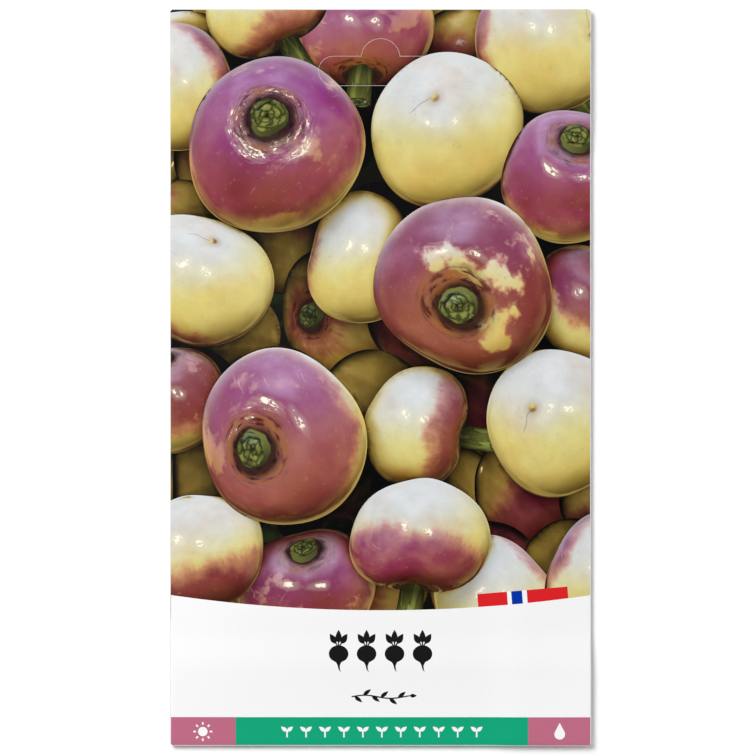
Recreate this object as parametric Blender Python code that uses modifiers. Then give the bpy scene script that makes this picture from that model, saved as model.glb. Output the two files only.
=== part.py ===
"""Seed packet, lying on its back with its printed front up.

One paper blank is folded round both long sides and over both ends, glued, and filled with loose seeds. A hang slot
is perforated through the three layers of its header, with the tab still in place.

Metres, +Z up. X runs across the packet and Y from its bottom fold to its top fold. The origin is the middle of the
packet, on the surface that it lies on.
"""

import math
import random

import bmesh
import bpy
from mathutils import Euler, Vector

MM = 0.001

# The packet's outside
WIDTH = 80 * MM
HEIGHT = 140 * MM

# Its paper. A layer is one sheet and the clear space over it.
PAPER = 0.15 * MM
CLEAR = 0.3 * MM
LAYER = PAPER + CLEAR
FOLD_RADIUS = LAYER / 2
PANEL_HALF_WIDTH = WIDTH / 2 - PAPER / 2 - FOLD_RADIUS
PANEL_HALF_HEIGHT = HEIGHT / 2 - PAPER / 2 - FOLD_RADIUS

# The inner layers stop short of the end folds, and the back panel short of the right-hand fold.
END_SHORT = 0.4 * MM
BACK_SHORT = 0.5 * MM

# Tab inside the right-hand fold, and the two end flaps outside the back panel
TAB_WIDTH = 12 * MM
TAB_EDGE = WIDTH / 2 - TAB_WIDTH
FLAP_SHORT = 0.7 * MM
FLAP_TAPER = 3 * MM
TOP_FLAP = 20 * MM
BOTTOM_FLAP = 14 * MM

# How the filled packet swells
SWELL = 2.6 * MM
SWELL_POWER = 2.2
POCKET_TOP = 46 * MM
SWELL_FULL = (-38 * MM, -8 * MM)
BACK_RISE = 8 * MM
FRONT_RISE = 9 * MM

# Hang slot: a wide slot with a round arch over its middle for the peg
SLOT_WIDTH = 23.6 * MM
SLOT_DEPTH = 5.6 * MM
SLOT_BOTTOM = HEIGHT / 2 - 14.6 * MM
ARCH_RADIUS = 3.7 * MM
ARCH_SINK = 0.35 * MM
SLIT = 0.25 * MM
NICK = 0.6 * MM
NICKS = (0.11, 0.39, 0.61, 0.89)

# Glue lines, each a strip of film between two layers
GLUE = 0.1 * MM
SEAM_GLUE = (30 * MM, 37.5 * MM, -66 * MM, 66 * MM)
TOP_GLUE = (-34 * MM, 34 * MM, 51 * MM, 54 * MM)
BOTTOM_GLUE = (-34 * MM, 34 * MM, -67 * MM, -58 * MM)
POCKET_GLUE = (-38 * MM, 27 * MM, 51 * MM, 54 * MM)

# Seeds
SEED = 1.9 * MM
SEED_PITCH = 2.05 * MM
SEED_HEAP = (11.5 * MM, 15 * MM)
SEED_HEAP_MIDDLE = (0.0, -24 * MM)
SEED_HEAP_RISE = 0.35 * MM
SEED_CORE = 0.55 * MM
SEED_JITTER = 0.12 * MM
SEED_DRAW = 7

# How finely the paper is divided
COLUMNS = 18
ROWS = 28
FOLD_STEPS = 6
TAB_COLUMNS = 3
FLAP_ROWS = 3
ARC_STEPS = 10


def ramp(value, start, end):
    """0 before start, 1 after end and a smooth rise between."""
    share = min(1.0, max(0.0, (value - start) / (end - start)))
    return share * share * (3 - 2 * share)


def evenly(start, end, count):
    """The ends of count equal steps from start to end."""
    return [start + (end - start) * i / count for i in range(count + 1)]


def back_height(y):
    """Middle of the back panel's paper: down on the surface, and a layer up where an end flap lies under it."""
    top_edge = HEIGHT / 2 - TOP_FLAP - CLEAR
    bottom_edge = -HEIGHT / 2 + BOTTOM_FLAP + CLEAR
    over_top = ramp(y, top_edge - BACK_RISE, top_edge)
    over_bottom = 1 - ramp(y, bottom_edge, bottom_edge + BACK_RISE)
    return PAPER / 2 + LAYER * (over_top + over_bottom)


def tab_height(y):
    """Middle of the tab's paper, one layer over the back panel."""
    return back_height(y) + LAYER


def swell(x, y):
    """How far the seeds lift the front panel."""
    across = 1 - min(1.0, abs(x) / PANEL_HALF_WIDTH) ** SWELL_POWER
    low, high = SWELL_FULL
    along = ramp(y, -PANEL_HALF_HEIGHT, low) * (1 - ramp(y, high, POCKET_TOP))
    return SWELL * across * along


def front_height(x, y):
    """Middle of the front panel's paper: one layer over the back panel, two where the tab lies between, and swollen."""
    over_tab = ramp(x, TAB_EDGE - FRONT_RISE, TAB_EDGE - CLEAR)
    return back_height(y) + LAYER * (1 + over_tab) + swell(x, y)


def round_fold(share, high, low):
    """(how far out, height) of a point that is this share of the way round a fold from one level down to another."""
    straight = high - low - 2 * FOLD_RADIUS
    quarter = FOLD_RADIUS * math.pi / 2
    run = share * (2 * quarter + straight)
    if run < quarter:
        turn = run / FOLD_RADIUS
        return FOLD_RADIUS * math.sin(turn), high - FOLD_RADIUS * (1 - math.cos(turn))
    if run < quarter + straight:
        return FOLD_RADIUS, high - FOLD_RADIUS - (run - quarter)
    turn = (run - quarter - straight) / FOLD_RADIUS
    return FOLD_RADIUS * math.cos(turn), low + FOLD_RADIUS * (1 - math.sin(turn))


def column_places():
    """Where the front panel's columns of points stand. The last but one on each side is a flap's side."""
    side = WIDTH / 2 - FLAP_SHORT - CLEAR
    return [-PANEL_HALF_WIDTH, *evenly(-side, side, COLUMNS), PANEL_HALF_WIDTH]


def row_places():
    """Where its rows stand. The last but one at each end is where the inner layers stop."""
    end = PANEL_HALF_HEIGHT - END_SHORT
    return [-PANEL_HALF_HEIGHT, *evenly(-end, end, ROWS), PANEL_HALF_HEIGHT]


def add_patch(bm, across, along, place):
    """Adds a grid whose points stand where place(a, b) puts each a of across and b of along."""
    grid = bmesh.ops.create_grid(bm, x_segments=len(across) - 1, y_segments=len(along) - 1, size=1)
    for vert in grid["verts"]:
        a = across[round((vert.co.x + 1) / 2 * (len(across) - 1))]
        b = along[round((vert.co.y + 1) / 2 * (len(along) - 1))]
        vert.co = place(a, b)


def add_side_fold(bm, side, low_height):
    """The fold at the left (side -1) or the right (side 1), from the front panel down to the layer of low_height."""

    def place(share, y):
        out, z = round_fold(share, front_height(side * PANEL_HALF_WIDTH, y), low_height(y))
        return Vector((side * (PANEL_HALF_WIDTH + out), y, z))

    add_patch(bm, evenly(0, 1, FOLD_STEPS), row_places()[1:-1], place)


def add_end_flap(bm, end, length):
    """The fold and the flap at the bottom (end -1) or the top (end 1)."""
    columns = column_places()[1:-1]

    def on_fold(x, share):
        out, z = round_fold(share, front_height(x, end * PANEL_HALF_HEIGHT), PAPER / 2)
        return Vector((x, end * (PANEL_HALF_HEIGHT + out), z))

    def on_flap(x, run):
        narrowed = x * (1 - FLAP_TAPER * run / length / (WIDTH / 2))
        return Vector((narrowed, end * (PANEL_HALF_HEIGHT - run), PAPER / 2))

    add_patch(bm, columns, evenly(0, 1, FOLD_STEPS), on_fold)
    add_patch(bm, columns, evenly(0, length, FLAP_ROWS), on_flap)


def folded_sheet():
    """The blank as it is folded: front panel, side folds, back panel, tab and both end flaps, as one open surface."""
    bm = bmesh.new()
    rows = row_places()
    back_columns = evenly(-PANEL_HALF_WIDTH, WIDTH / 2 - PAPER - BACK_SHORT, COLUMNS)
    tab_columns = evenly(TAB_EDGE, PANEL_HALF_WIDTH, TAB_COLUMNS)
    add_patch(bm, column_places(), rows, lambda x, y: Vector((x, y, front_height(x, y))))
    add_patch(bm, back_columns, rows[1:-1], lambda x, y: Vector((x, y, back_height(y))))
    add_patch(bm, tab_columns, rows[1:-1], lambda x, y: Vector((x, y, tab_height(y))))
    add_side_fold(bm, -1, back_height)
    add_side_fold(bm, 1, tab_height)
    add_end_flap(bm, -1, BOTTOM_FLAP)
    add_end_flap(bm, 1, TOP_FLAP)
    bmesh.ops.remove_doubles(bm, verts=bm.verts, dist=PAPER / 100)
    bmesh.ops.recalc_face_normals(bm, faces=bm.faces)
    mesh = bpy.data.meshes.new("paper")
    bm.to_mesh(mesh)
    bm.free()
    mesh.shade_smooth()
    return mesh


def arc(centre, radius, start, end):
    """Points of an arc, in degrees from +X towards +Y, its ends among them."""
    turns = [math.radians(turn) for turn in evenly(start, end, ARC_STEPS)]
    return [Vector((centre[0] + radius * math.cos(t), centre[1] + radius * math.sin(t))) for t in turns]


def slot_outline():
    """The hang slot's closed outline, from the middle of its lower edge round by the right."""
    end_radius = SLOT_DEPTH / 2
    end_centre = SLOT_WIDTH / 2 - end_radius
    middle = SLOT_BOTTOM + end_radius
    arch_foot = math.degrees(math.asin(ARCH_SINK / ARCH_RADIUS))
    arch_centre = (0.0, SLOT_BOTTOM + SLOT_DEPTH - ARCH_SINK)
    foot = Vector((0.0, SLOT_BOTTOM))
    right = arc((end_centre, middle), end_radius, -90, 90)
    arch = arc(arch_centre, ARCH_RADIUS, arch_foot, 180 - arch_foot)
    left = arc((-end_centre, middle), end_radius, 90, 270)
    return [foot, *right, *arch, *left, foot]


def slits(outline):
    """The outline's stretches between its nicks, which keep the tab in the sheet."""
    ends = [0.0]
    for a, b in zip(outline, outline[1:]):
        ends.append(ends[-1] + (b - a).length)
    around = ends[-1]

    def at(run):
        run %= around
        i = max(k for k in range(len(outline) - 1) if ends[k] <= run)
        return outline[i].lerp(outline[i + 1], (run - ends[i]) / (ends[i + 1] - ends[i]))

    found = []
    for here, after in zip(NICKS, (*NICKS[1:], 1 + NICKS[0])):
        start = here * around + NICK / 2
        end = after * around - NICK / 2
        between = [run + turn for turn in (0, around) for run in ends[:-1] if start < run + turn < end]
        found.append([at(run) for run in (start, *between, end)])
    return found


def slot_cutter(collection):
    """Thin upright walls along the slits, which cut all three layers of the header."""
    curve = bpy.data.curves.new("slits", "CURVE")
    curve.dimensions = "3D"
    curve.extrude = HEIGHT / 20
    for points in slits(slot_outline()):
        spline = curve.splines.new("POLY")
        spline.points.add(len(points) - 1)
        for point, place in zip(spline.points, points):
            point.co = (place.x, place.y, 0, 1)
    guide = bpy.data.objects.new("slit_lines", curve)
    collection.objects.link(guide)
    bpy.context.view_layer.update()
    graph = bpy.context.evaluated_depsgraph_get()
    mesh = bpy.data.meshes.new_from_object(guide.evaluated_get(graph))
    cutter = bpy.data.objects.new("slot_cutter", mesh)
    cutter.matrix_world = guide.matrix_world
    collection.objects.link(cutter)
    bpy.data.objects.remove(guide)
    wall = cutter.modifiers.new("slit width", "SOLIDIFY")
    wall.thickness = SLIT
    wall.offset = 0
    cutter.hide_render = True
    cutter.display_type = "WIRE"
    return cutter


def material(name, colour, roughness):
    """A plain Principled material."""
    made = bpy.data.materials.new(name)
    made.use_nodes = True
    shader = made.node_tree.nodes["Principled BSDF"]
    shader.inputs["Base Color"].default_value = (*colour, 1)
    shader.inputs["Roughness"].default_value = roughness
    return made


def paper_packet(packet, cutters):
    """The folded blank, with its thickness and the perforated slot."""
    obj = bpy.data.objects.new("paper_packet", folded_sheet())
    obj.data.materials.append(material("coated paper", (0.62, 0.45, 0.42), 0.35))
    packet.objects.link(obj)
    paper = obj.modifiers.new("paper", "SOLIDIFY")
    paper.thickness = PAPER
    paper.offset = 0
    slot = obj.modifiers.new("hang slot", "BOOLEAN")
    slot.operation = "DIFFERENCE"
    slot.solver = "EXACT"
    slot.object = slot_cutter(cutters)


def glue_strip(packet, name, film, bounds, middle, rows=1):
    """A strip of glue over bounds (left, right, bottom, top), at the height of middle(y)."""
    left, right, bottom, top = bounds
    bm = bmesh.new()
    add_patch(bm, (left, right), evenly(bottom, top, rows), lambda x, y: Vector((x, y, middle(y))))
    mesh = bpy.data.meshes.new(name)
    bm.to_mesh(mesh)
    bm.free()
    mesh.materials.append(film)
    obj = bpy.data.objects.new(name, mesh)
    packet.objects.link(obj)
    thickness = obj.modifiers.new("film", "SOLIDIFY")
    thickness.thickness = GLUE
    thickness.offset = 0


def glue_lines(packet):
    """The four glue lines: side seam, both end flaps, and the one that closes the pocket under the slot."""
    film = material("dried glue", (0.85, 0.83, 0.76), 0.3)

    def over_back(y):
        return back_height(y) + LAYER / 2

    def over_flap(_):
        return PAPER / 2 + LAYER / 2

    glue_strip(packet, "side_seam_glue", film, SEAM_GLUE, over_back, rows=ROWS)
    glue_strip(packet, "top_flap_glue", film, TOP_GLUE, over_flap)
    glue_strip(packet, "bottom_flap_glue", film, BOTTOM_GLUE, over_flap)
    glue_strip(packet, "pocket_seal_glue", film, POCKET_GLUE, over_back)


def seed_places():
    """Middles of the seeds: staggered rows in an oval, a little apart, higher towards its middle."""
    draw = random.Random(SEED_DRAW)
    half_x, half_y = SEED_HEAP
    row_step = SEED_PITCH * math.sqrt(3) / 2
    floor = PAPER + CLEAR + SEED / 2
    places = []
    for row in range(-int(half_y / row_step), int(half_y / row_step) + 1):
        for column in range(-int(half_x / SEED_PITCH) - 1, int(half_x / SEED_PITCH) + 2):
            x = (column + row % 2 / 2) * SEED_PITCH
            y = row * row_step
            out = math.hypot(x / half_x, y / half_y)
            if out > 1:
                continue
            rise = SEED_HEAP_RISE * (1 - out * out) * draw.uniform(0.6, 1)
            nudge = [draw.uniform(-SEED_JITTER, SEED_JITTER) for _ in range(2)]
            places.append(Vector((x + nudge[0], y + nudge[1], floor + rise)))
    return places


def seeds(packet, scratch):
    """The seeds in the pocket. A thin core joins them as one body, and they stand out of it all over."""
    draw = random.Random(SEED_DRAW)
    middle = Vector((*SEED_HEAP_MIDDLE, 0))
    bm = bmesh.new()
    bmesh.ops.create_icosphere(bm, subdivisions=1, radius=SEED / 2)
    mesh = bpy.data.meshes.new("seed")
    bm.to_mesh(mesh)
    bm.free()
    for number, place in enumerate(seed_places()):
        seed = bpy.data.objects.new(f"seed_{number}", mesh)
        seed.location = middle + place
        seed.rotation_euler = Euler([draw.uniform(0, math.tau) for _ in range(3)])
        scratch.objects.link(seed)
    bm = bmesh.new()
    bmesh.ops.create_uvsphere(bm, u_segments=20, v_segments=8, radius=1)
    core_rise = SEED_CORE + SEED_HEAP_RISE / 2
    bmesh.ops.scale(bm, verts=bm.verts, vec=(SEED_HEAP[0], SEED_HEAP[1], core_rise))
    bmesh.ops.translate(bm, verts=bm.verts, vec=middle + Vector((0, 0, PAPER + CLEAR + SEED / 2 + SEED_HEAP_RISE / 3)))
    core = bpy.data.meshes.new("seeds")
    bm.to_mesh(core)
    bm.free()
    core.materials.append(material("seed coat", (0.16, 0.06, 0.035), 0.6))
    obj = bpy.data.objects.new("seeds", core)
    packet.objects.link(obj)
    joined = obj.modifiers.new("seeds", "BOOLEAN")
    joined.operation = "UNION"
    joined.solver = "EXACT"
    joined.operand_type = "COLLECTION"
    joined.collection = scratch
    bpy.context.view_layer.objects.active = obj
    bpy.ops.object.modifier_apply(modifier=joined.name)
    for seed in list(scratch.objects):
        bpy.data.objects.remove(seed)


def main():
    for obj in list(bpy.data.objects):
        bpy.data.objects.remove(obj)
    collections = [bpy.data.collections.new(name) for name in ("seed packet", "cutters", "single seeds")]
    for collection in collections:
        bpy.context.scene.collection.children.link(collection)
    packet, cutters, scratch = collections
    paper_packet(packet, cutters)
    glue_lines(packet)
    seeds(packet, scratch)
    bpy.data.collections.remove(scratch)


main()
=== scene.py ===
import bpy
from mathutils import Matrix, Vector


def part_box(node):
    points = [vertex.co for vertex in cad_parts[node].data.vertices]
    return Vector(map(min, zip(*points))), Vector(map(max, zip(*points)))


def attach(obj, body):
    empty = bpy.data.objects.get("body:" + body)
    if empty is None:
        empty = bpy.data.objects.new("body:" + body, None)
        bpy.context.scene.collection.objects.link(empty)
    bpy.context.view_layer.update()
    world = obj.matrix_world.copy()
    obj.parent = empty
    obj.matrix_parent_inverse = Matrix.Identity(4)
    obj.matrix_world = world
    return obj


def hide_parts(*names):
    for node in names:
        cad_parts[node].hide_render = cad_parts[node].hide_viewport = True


bl_info = {
    "name": "Seed packet",
    "version": (1, 0, 0),
    "blender": (4, 5, 0),
    "location": "View3D > Sidebar > Seed packet",
    "description": "A folded paper seed packet with a printed heap of turnips, on a plain pale floor",
    "category": "Object",
}

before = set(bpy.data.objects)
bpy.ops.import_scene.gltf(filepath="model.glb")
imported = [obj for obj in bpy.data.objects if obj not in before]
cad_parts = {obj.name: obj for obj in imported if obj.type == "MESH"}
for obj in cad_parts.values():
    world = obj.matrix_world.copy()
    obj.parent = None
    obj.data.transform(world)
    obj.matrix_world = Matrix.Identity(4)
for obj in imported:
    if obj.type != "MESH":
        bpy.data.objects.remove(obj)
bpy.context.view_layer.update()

import math
import random
from collections import namedtuple

import bpy
import numpy as np
from bpy.props import FloatProperty, FloatVectorProperty, IntProperty, PointerProperty
from bpy.types import Operator, Panel, PropertyGroup
from mathutils import Vector, kdtree
from mathutils.geometry import delaunay_2d_cdt

BODY = "root"
MM = 0.001

# The folded paper, in millimetres, as the solids have it
PACKET_LOW, PACKET_HIGH = (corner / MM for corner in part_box("paper_packet"))
WIDTH = PACKET_HIGH.x - PACKET_LOW.x
HEIGHT = PACKET_HIGH.y - PACKET_LOW.y
PAPER = 0.15
CLEAR = 0.3
LAYER = PAPER + CLEAR
FOLD_RADIUS = LAYER / 2
HALF_WIDTH = WIDTH / 2 - PAPER / 2 - FOLD_RADIUS
HALF_HEIGHT = HEIGHT / 2 - PAPER / 2 - FOLD_RADIUS
INNER_HALF_HEIGHT = HALF_HEIGHT - 0.4
BACK_WIDTH = HALF_WIDTH + WIDTH / 2 - PAPER - 0.5
TAB_EDGE = WIDTH / 2 - 12
FOLD_SHORT = 0.05
FLAP_HALF_WIDTH = WIDTH / 2 - 1
FLAP_TAPER = 3
TOP_FLAP = 20
BOTTOM_FLAP = 14
FLAP_BAND = 4
SWELL = 2.6
SWELL_POWER = 2.2
POCKET_TOP = 46
SWELL_FULL = (-38, -8)
BUCKLE_DEPTH = 0.035
SEED_MARK_DEPTH = 0.018
BACK_RISE = 8
FRONT_RISE = 9
SHARP_ANGLE = 50

# The blank's folds, laid flat: a side fold goes down one layer, an end fold two
SIDE_FOLD = math.pi * FOLD_RADIUS
END_FOLD = SIDE_FOLD + LAYER
FOLD_STEPS = 6
BACK_RIGHT = -HALF_WIDTH - SIDE_FOLD
BACK_LEFT = BACK_RIGHT - BACK_WIDTH
TAB_LEFT = HALF_WIDTH + SIDE_FOLD
TAB_RIGHT = TAB_LEFT + HALF_WIDTH - TAB_EDGE
FLAP_TOP = HALF_HEIGHT + END_FOLD + TOP_FLAP
FLAP_BOTTOM = -HALF_HEIGHT - END_FOLD - BOTTOM_FLAP
BLANK_SIDE = FLAP_TOP - FLAP_BOTTOM

# The hang slot, and the white core that its die leaves bare
SLOT_WIDTH = 23.6
SLOT_DEPTH = 5.6
SLOT_BOTTOM = HEIGHT / 2 - 14.6
ARCH_RADIUS = 3.7
ARCH_SINK = 0.35
NICK = 0.6
NICKS = (0.11, 0.39, 0.61, 0.89)
SLIT = 0.015
CORE = 0.06

# How far round the folds the ink reaches before it has cracked off, and where a grey band of painted shade
# darkens the left and top folds
CRACK = 0.09
LEFT_CRACK = 0.135
EDGE_SHADE_END = 0.318
EDGE_SHADE_SHORT = 0.1

# The small striped strip behind the label's edge
STRIP_TURN = 4.6
STRIP_HEIGHT = 3.65
STRIP_TOP = 0.28
STRIP_EDGES = (18.6, 24.25, 25.05, 27.1, 28.0, 35.8)
STRIP_INKS = ("red", "white", "blue", "white", "red")

# The marks on the band, and the figures on the label
SUN_SIZE = 3.6
DROP_SIZE = 3.4
SPROUTS = 11
SPROUT_SIZE = 2.2
SPROUT_STEP = 3.6
FIGURES = 4
FIGURE_SIZE = 4.9
FIGURE_STEP = 5.3
FIGURE_HEIGHT = -52.4
TWIG_LENGTH = 11.0
TWIG_HEIGHT = -60.6

# The calendar, the ringed marks and the sowing guide on the back
MONTH_STEP = 5.2
MONTH_HALF = 2.3
MONTH_TALL = 5
MONTH_LINE = 0.15
CALENDAR_LOW = -HEIGHT / 2 + BOTTOM_FLAP + 6
SOWING = (3, 4, 5, 6)
HARVEST = (7, 8, 9)
RINGS = (7.5, 7.15)
RING_STEP = 20
RING_HEIGHT = 26
GUIDE_STEP = 15
GUIDE_HEIGHT = -8

# How finely the paper is divided
FRONT_PITCH = 0.85
LINE_PITCH = 0.85
HALO = (0.4, 0.9)
TOO_NEAR = 0.3
WELD = 1e-4

# Where the bake map has the paper's inside and its cut edges
INSIDE_SCALE = 0.1
INSIDE_CORNER = (0.02, 0.89)
CUT_SCALE = 0.03
CUT_CORNER = (0.16, 0.91)

# The heap's lights and shadows are drawn in, as in any photograph
HEAP_LIGHT = Vector((-0.35, 0.60, 0.72)).normalized()
HEAP_UP = Vector((-0.18, 0.86, 0.48)).normalized()
HEAP_PENUMBRA = 1.2
DEEP_GOLD = (0.66, 0.50, 0.12)
GOLD = (0.85, 0.84, 0.47)
COOL = (0.80, 0.85, 1.06)
WARM_ON_CREAM = (1.14, 0.77, 0.28)
WARM_ON_PURPLE = (1.08, 0.44, 0.60)
SKY_GLARE = (0.28, 0.30, 0.40)
LAMPS = (((-0.42, 0.36, 0.83), 0.9), ((0.25, 0.30, 0.92), 0.8))
STUB_SLICES = ((0.93, 0.22), (0.98, 0.21), (1.03, 0.205), (1.08, 0.205))
HEAP_FLATNESS = 0.8
HEAP_WAVES = ((2, 0.04), (3, 0.034), (5, 0.01))
GAP_DEPTH = -32
STALK_CUT = 0.72
STALK_RISE = 2
STALK_LEAN = 35
HEIGHT_PITCH = 0.5
HEAP_MARGIN = 16
PICTURE_LOW = -HEIGHT / 2 + 24
LOOKS = 16
LOOK_DISTANCES = (1.5, 2.5, 4, 6, 8.5, 11.5, 15)

# The inks are colours of the print's settings. A shape may also be a gap, a cut, or a turnip's skin or stalk
INKS = ("white", "green", "rose", "red", "blue", "black", "scuff", "core")
Shape = namedtuple("Shape", "loops ink")
Turnip = namedtuple("Turnip", "x y radius way lean purple patch depth")


def linear(red, green, blue):
    """A colour given as on a screen, 0 to 255, as the linear values that shaders take."""
    shares = (value / 255 for value in (red, green, blue))
    return tuple(((c + 0.055) / 1.055) ** 2.4 if c > 0.04 else c / 12.92 for c in shares)


def colour_setting(name, description, red, green, blue):
    """A colour property whose default is given as on a screen."""
    return FloatVectorProperty(
        name=name, description=description, subtype="COLOR", size=3, default=linear(red, green, blue)
    )


def length_setting(name, description, millimetres):
    return FloatProperty(name=name, description=f"{description}, in mm", default=millimetres)


class PacketPrint(PropertyGroup):
    label_side: length_setting("Label height at the sides", "Over the bottom fold", 28.67)
    label_middle: length_setting("Label height in the middle", "Over the bottom fold", 25.9)
    band: length_setting("Band height", "Coloured band over the bottom fold", 5.5)
    left_block: length_setting("Left block", "Width of the band's left block", 12.5)
    right_block: length_setting("Right block", "Width of the band's right block", 12.0)
    white: colour_setting("White", "Coated white of the label", 240, 240, 240)
    core: colour_setting("Core", "Bare paper at cuts and on the inside", 236, 233, 226)
    green: colour_setting("Green", "Middle of the band", 16, 160, 118)
    rose: colour_setting("Rose", "Ends of the band", 184, 104, 128)
    red: colour_setting("Red", "The small strip", 213, 34, 38)
    blue: colour_setting("Blue", "Stripe in the small strip", 0, 50, 160)
    black: colour_setting("Black", "Line figures", 22, 22, 22)
    # Painted shade: a grey band along the left and top folds, darker than the white, where the lights leave
    # that edge bright
    scuff: colour_setting("Scuff", "Shaded edge along the left and the top fold", 204, 204, 206)


class PacketHeap(PropertyGroup):
    cream: colour_setting("Cream", "Skin of the lower half", 228, 214, 168)
    purple: colour_setting("Purple", "Skin round the crown", 156, 52, 128)
    maroon: colour_setting("Maroon", "Skin round the crown of the darkest", 122, 18, 66)
    leaf: colour_setting("Leaf green", "Cut leaf stalks on the crown", 156, 162, 78)
    cork: colour_setting("Cork", "Wrinkled ring round the crown", 160, 104, 72)
    draw: IntProperty(name="Draw", description="Seed of the heap's random draws", default=11)


class PacketStage(PropertyGroup):
    lens: FloatProperty(name="Lens", description="Focal length in mm", default=180)
    key: FloatProperty(name="Key light", description="Strength of the light from the upper left", default=1.0)
    fill: FloatProperty(name="Fill light", description="Strength of the light all round", default=1.0)


# Shader trees


def maths_step(operation, swapped=False):
    """A socket's method that adds a Math node. Swapped puts the socket after the other value."""

    def method(self, *others):
        values = (*others, self) if swapped else (self, *others)
        return self.sheet.add("ShaderNodeMath", {"operation": operation}, dict(enumerate(values)))

    return method


def vector_step(operation, second=1, output="Vector"):
    """A socket's method that adds a Vector Math node. Second names the input for the other value."""

    def method(self, *others):
        values = {0: self, **{second: other for other in others}}
        return self.sheet.add("ShaderNodeVectorMath", {"operation": operation}, values, output)

    return method


class Socket:
    """An output in a material's tree. What is worked out with it is added to the tree as nodes."""

    __add__ = __radd__ = maths_step("ADD")
    __sub__ = maths_step("SUBTRACT")
    __rsub__ = maths_step("SUBTRACT", swapped=True)
    __mul__ = __rmul__ = maths_step("MULTIPLY")
    __truediv__ = maths_step("DIVIDE")
    __abs__ = maths_step("ABSOLUTE")
    at_least = maths_step("MAXIMUM")
    root = maths_step("SQRT")
    fraction = maths_step("FRACT")
    arctan = maths_step("ARCTAN2")
    plus = vector_step("ADD")
    minus = vector_step("SUBTRACT")
    times = vector_step("MULTIPLY")
    scaled = vector_step("SCALE", "Scale")
    cross = vector_step("CROSS_PRODUCT")
    dot = vector_step("DOT_PRODUCT", output="Value")
    normalized = vector_step("NORMALIZE")

    def __init__(self, sheet, output):
        self.sheet = sheet
        self.output = output

    def parts(self):
        x = self.sheet.add("ShaderNodeSeparateXYZ", {}, {0: self})
        return x, x.other("Y"), x.other("Z")

    def other(self, output):
        """Another output of the same node."""
        return Socket(self.sheet, self.sheet.find(self.output.node.outputs, output))

    def step(self, low, high):
        """0 where it is below low, 1 above high, and smooth between. Low may be the higher one."""
        values = {"Value": self, "From Min": low, "From Max": high}
        return self.sheet.add("ShaderNodeMapRange", {"interpolation_type": "SMOOTHSTEP"}, values)


class Sheet:
    """A material and its tree."""

    def __init__(self, name):
        self.material = bpy.data.materials.new(name)
        self.material.use_nodes = True
        self.tree = self.material.node_tree
        self.shader = self.tree.nodes["Principled BSDF"]

    def find(self, sockets, key):
        """One of a node's sockets, by its place, its identifier or its name."""
        if isinstance(key, int):
            return sockets[key]
        return next(socket for socket in sockets if key in (socket.identifier, socket.name))

    def put(self, node, key, value):
        """Links or sets one of a node's inputs."""
        socket = self.find(node.inputs, key)
        if isinstance(value, Socket):
            self.tree.links.new(value.output, socket)
        elif socket.type == "RGBA" and len(value) == 3:
            socket.default_value = (*value, 1)
        else:
            socket.default_value = value

    def add(self, kind, settings=None, values=None, output=0):
        """A node of this kind, with its settings and then its inputs, as one of its outputs."""
        node = self.tree.nodes.new(kind)
        for key, value in (settings or {}).items():
            setattr(node, key, value)
        for key, value in (values or {}).items():
            self.put(node, key, value)
        return Socket(self, self.find(node.outputs, output))

    def object_place(self):
        return self.add("ShaderNodeTexCoord", output="Object")

    def read(self, attribute, output="Vector"):
        return self.add("ShaderNodeAttribute", {"attribute_name": attribute}, output=output)

    def vector(self, x, y, z=0.0):
        return self.add("ShaderNodeCombineXYZ", {}, {0: x, 1: y, 2: z})

    def noise(self, place, scale, detail=2.0, roughness=0.5, output=0):
        values = {"Vector": place, "Scale": scale, "Detail": detail, "Roughness": roughness}
        return self.add("ShaderNodeTexNoise", {"noise_dimensions": "3D"}, values, output)

    def jitter(self, place, scale, detail=2.0, roughness=0.5):
        """Noise as a vector round nought."""
        return self.noise(place, scale, detail, roughness, "Color").plus((-0.5, -0.5, -0.5))

    def mix(self, share, a, b):
        values = {"Factor_Float": share, "A_Color": a, "B_Color": b}
        return self.add("ShaderNodeMix", {"data_type": "RGBA"}, values, "Result_Color")

    def bump(self, strength, distance, height):
        return self.add("ShaderNodeBump", {}, {"Strength": strength, "Distance": distance, "Height": height})

    def set(self, **values):
        """Values and links of the shader's own sockets, by name, with _ for a space."""
        for key, value in values.items():
            self.put(self.shader, key.replace("_", " "), value)


def coat(sheet):
    """The printed side: a low gloss with faint unevenness, and fibres that follow the sheet."""
    place = sheet.read("blank")
    cloudy = sheet.noise(place, 0.35, 3)
    fibres = sheet.noise(place, 6.0, 3, 0.6)
    sheet.set(Roughness=0.42 + (cloudy - 0.5) * 0.12, Normal=sheet.bump(0.08, 0.02 * MM, fibres))
    sheet.set(Specular_IOR_Level=0.08)
    return place


def flat_ink():
    """The label, the bands and the figures: even inks, with a faint mottle."""
    sheet = Sheet("flat inks")
    mottle = 1 + (sheet.noise(coat(sheet), 0.9, 4) - 0.5) * 0.02
    sheet.set(Base_Color=sheet.read("ink", "Color").scaled(mottle))
    return sheet.material


def bare_paper(colours):
    """Uncoated paper: the inside of the packet, its cracked folds and every cut edge."""
    sheet = Sheet("bare paper")
    place = sheet.read("blank")
    pulp = sheet.noise(place, 1.6, 5, 0.65)
    fibres = sheet.noise(place, 9.0, 3, 0.6)
    dark = tuple(value * 0.9 for value in colours.core)
    sheet.set(Base_Color=sheet.mix(pulp.step(0.3, 0.7), dark, colours.core))
    sheet.set(Roughness=0.8 + (pulp - 0.5) * 0.1, Normal=sheet.bump(0.25, 0.04 * MM, fibres))
    return sheet.material


def dark_gap():
    """What shows between the turnips: shade, with a hint of leaves."""
    sheet = Sheet("printed gaps")
    leafy = sheet.noise(coat(sheet), 0.22, 3).step(0.5, 0.75)
    sheet.set(Base_Color=sheet.mix(leafy, linear(9, 8, 4), linear(24, 34, 12)))
    return sheet.material


def far_out(x, y):
    """How far a point lies from the middle."""
    return (x * x + y * y).root()


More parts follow.
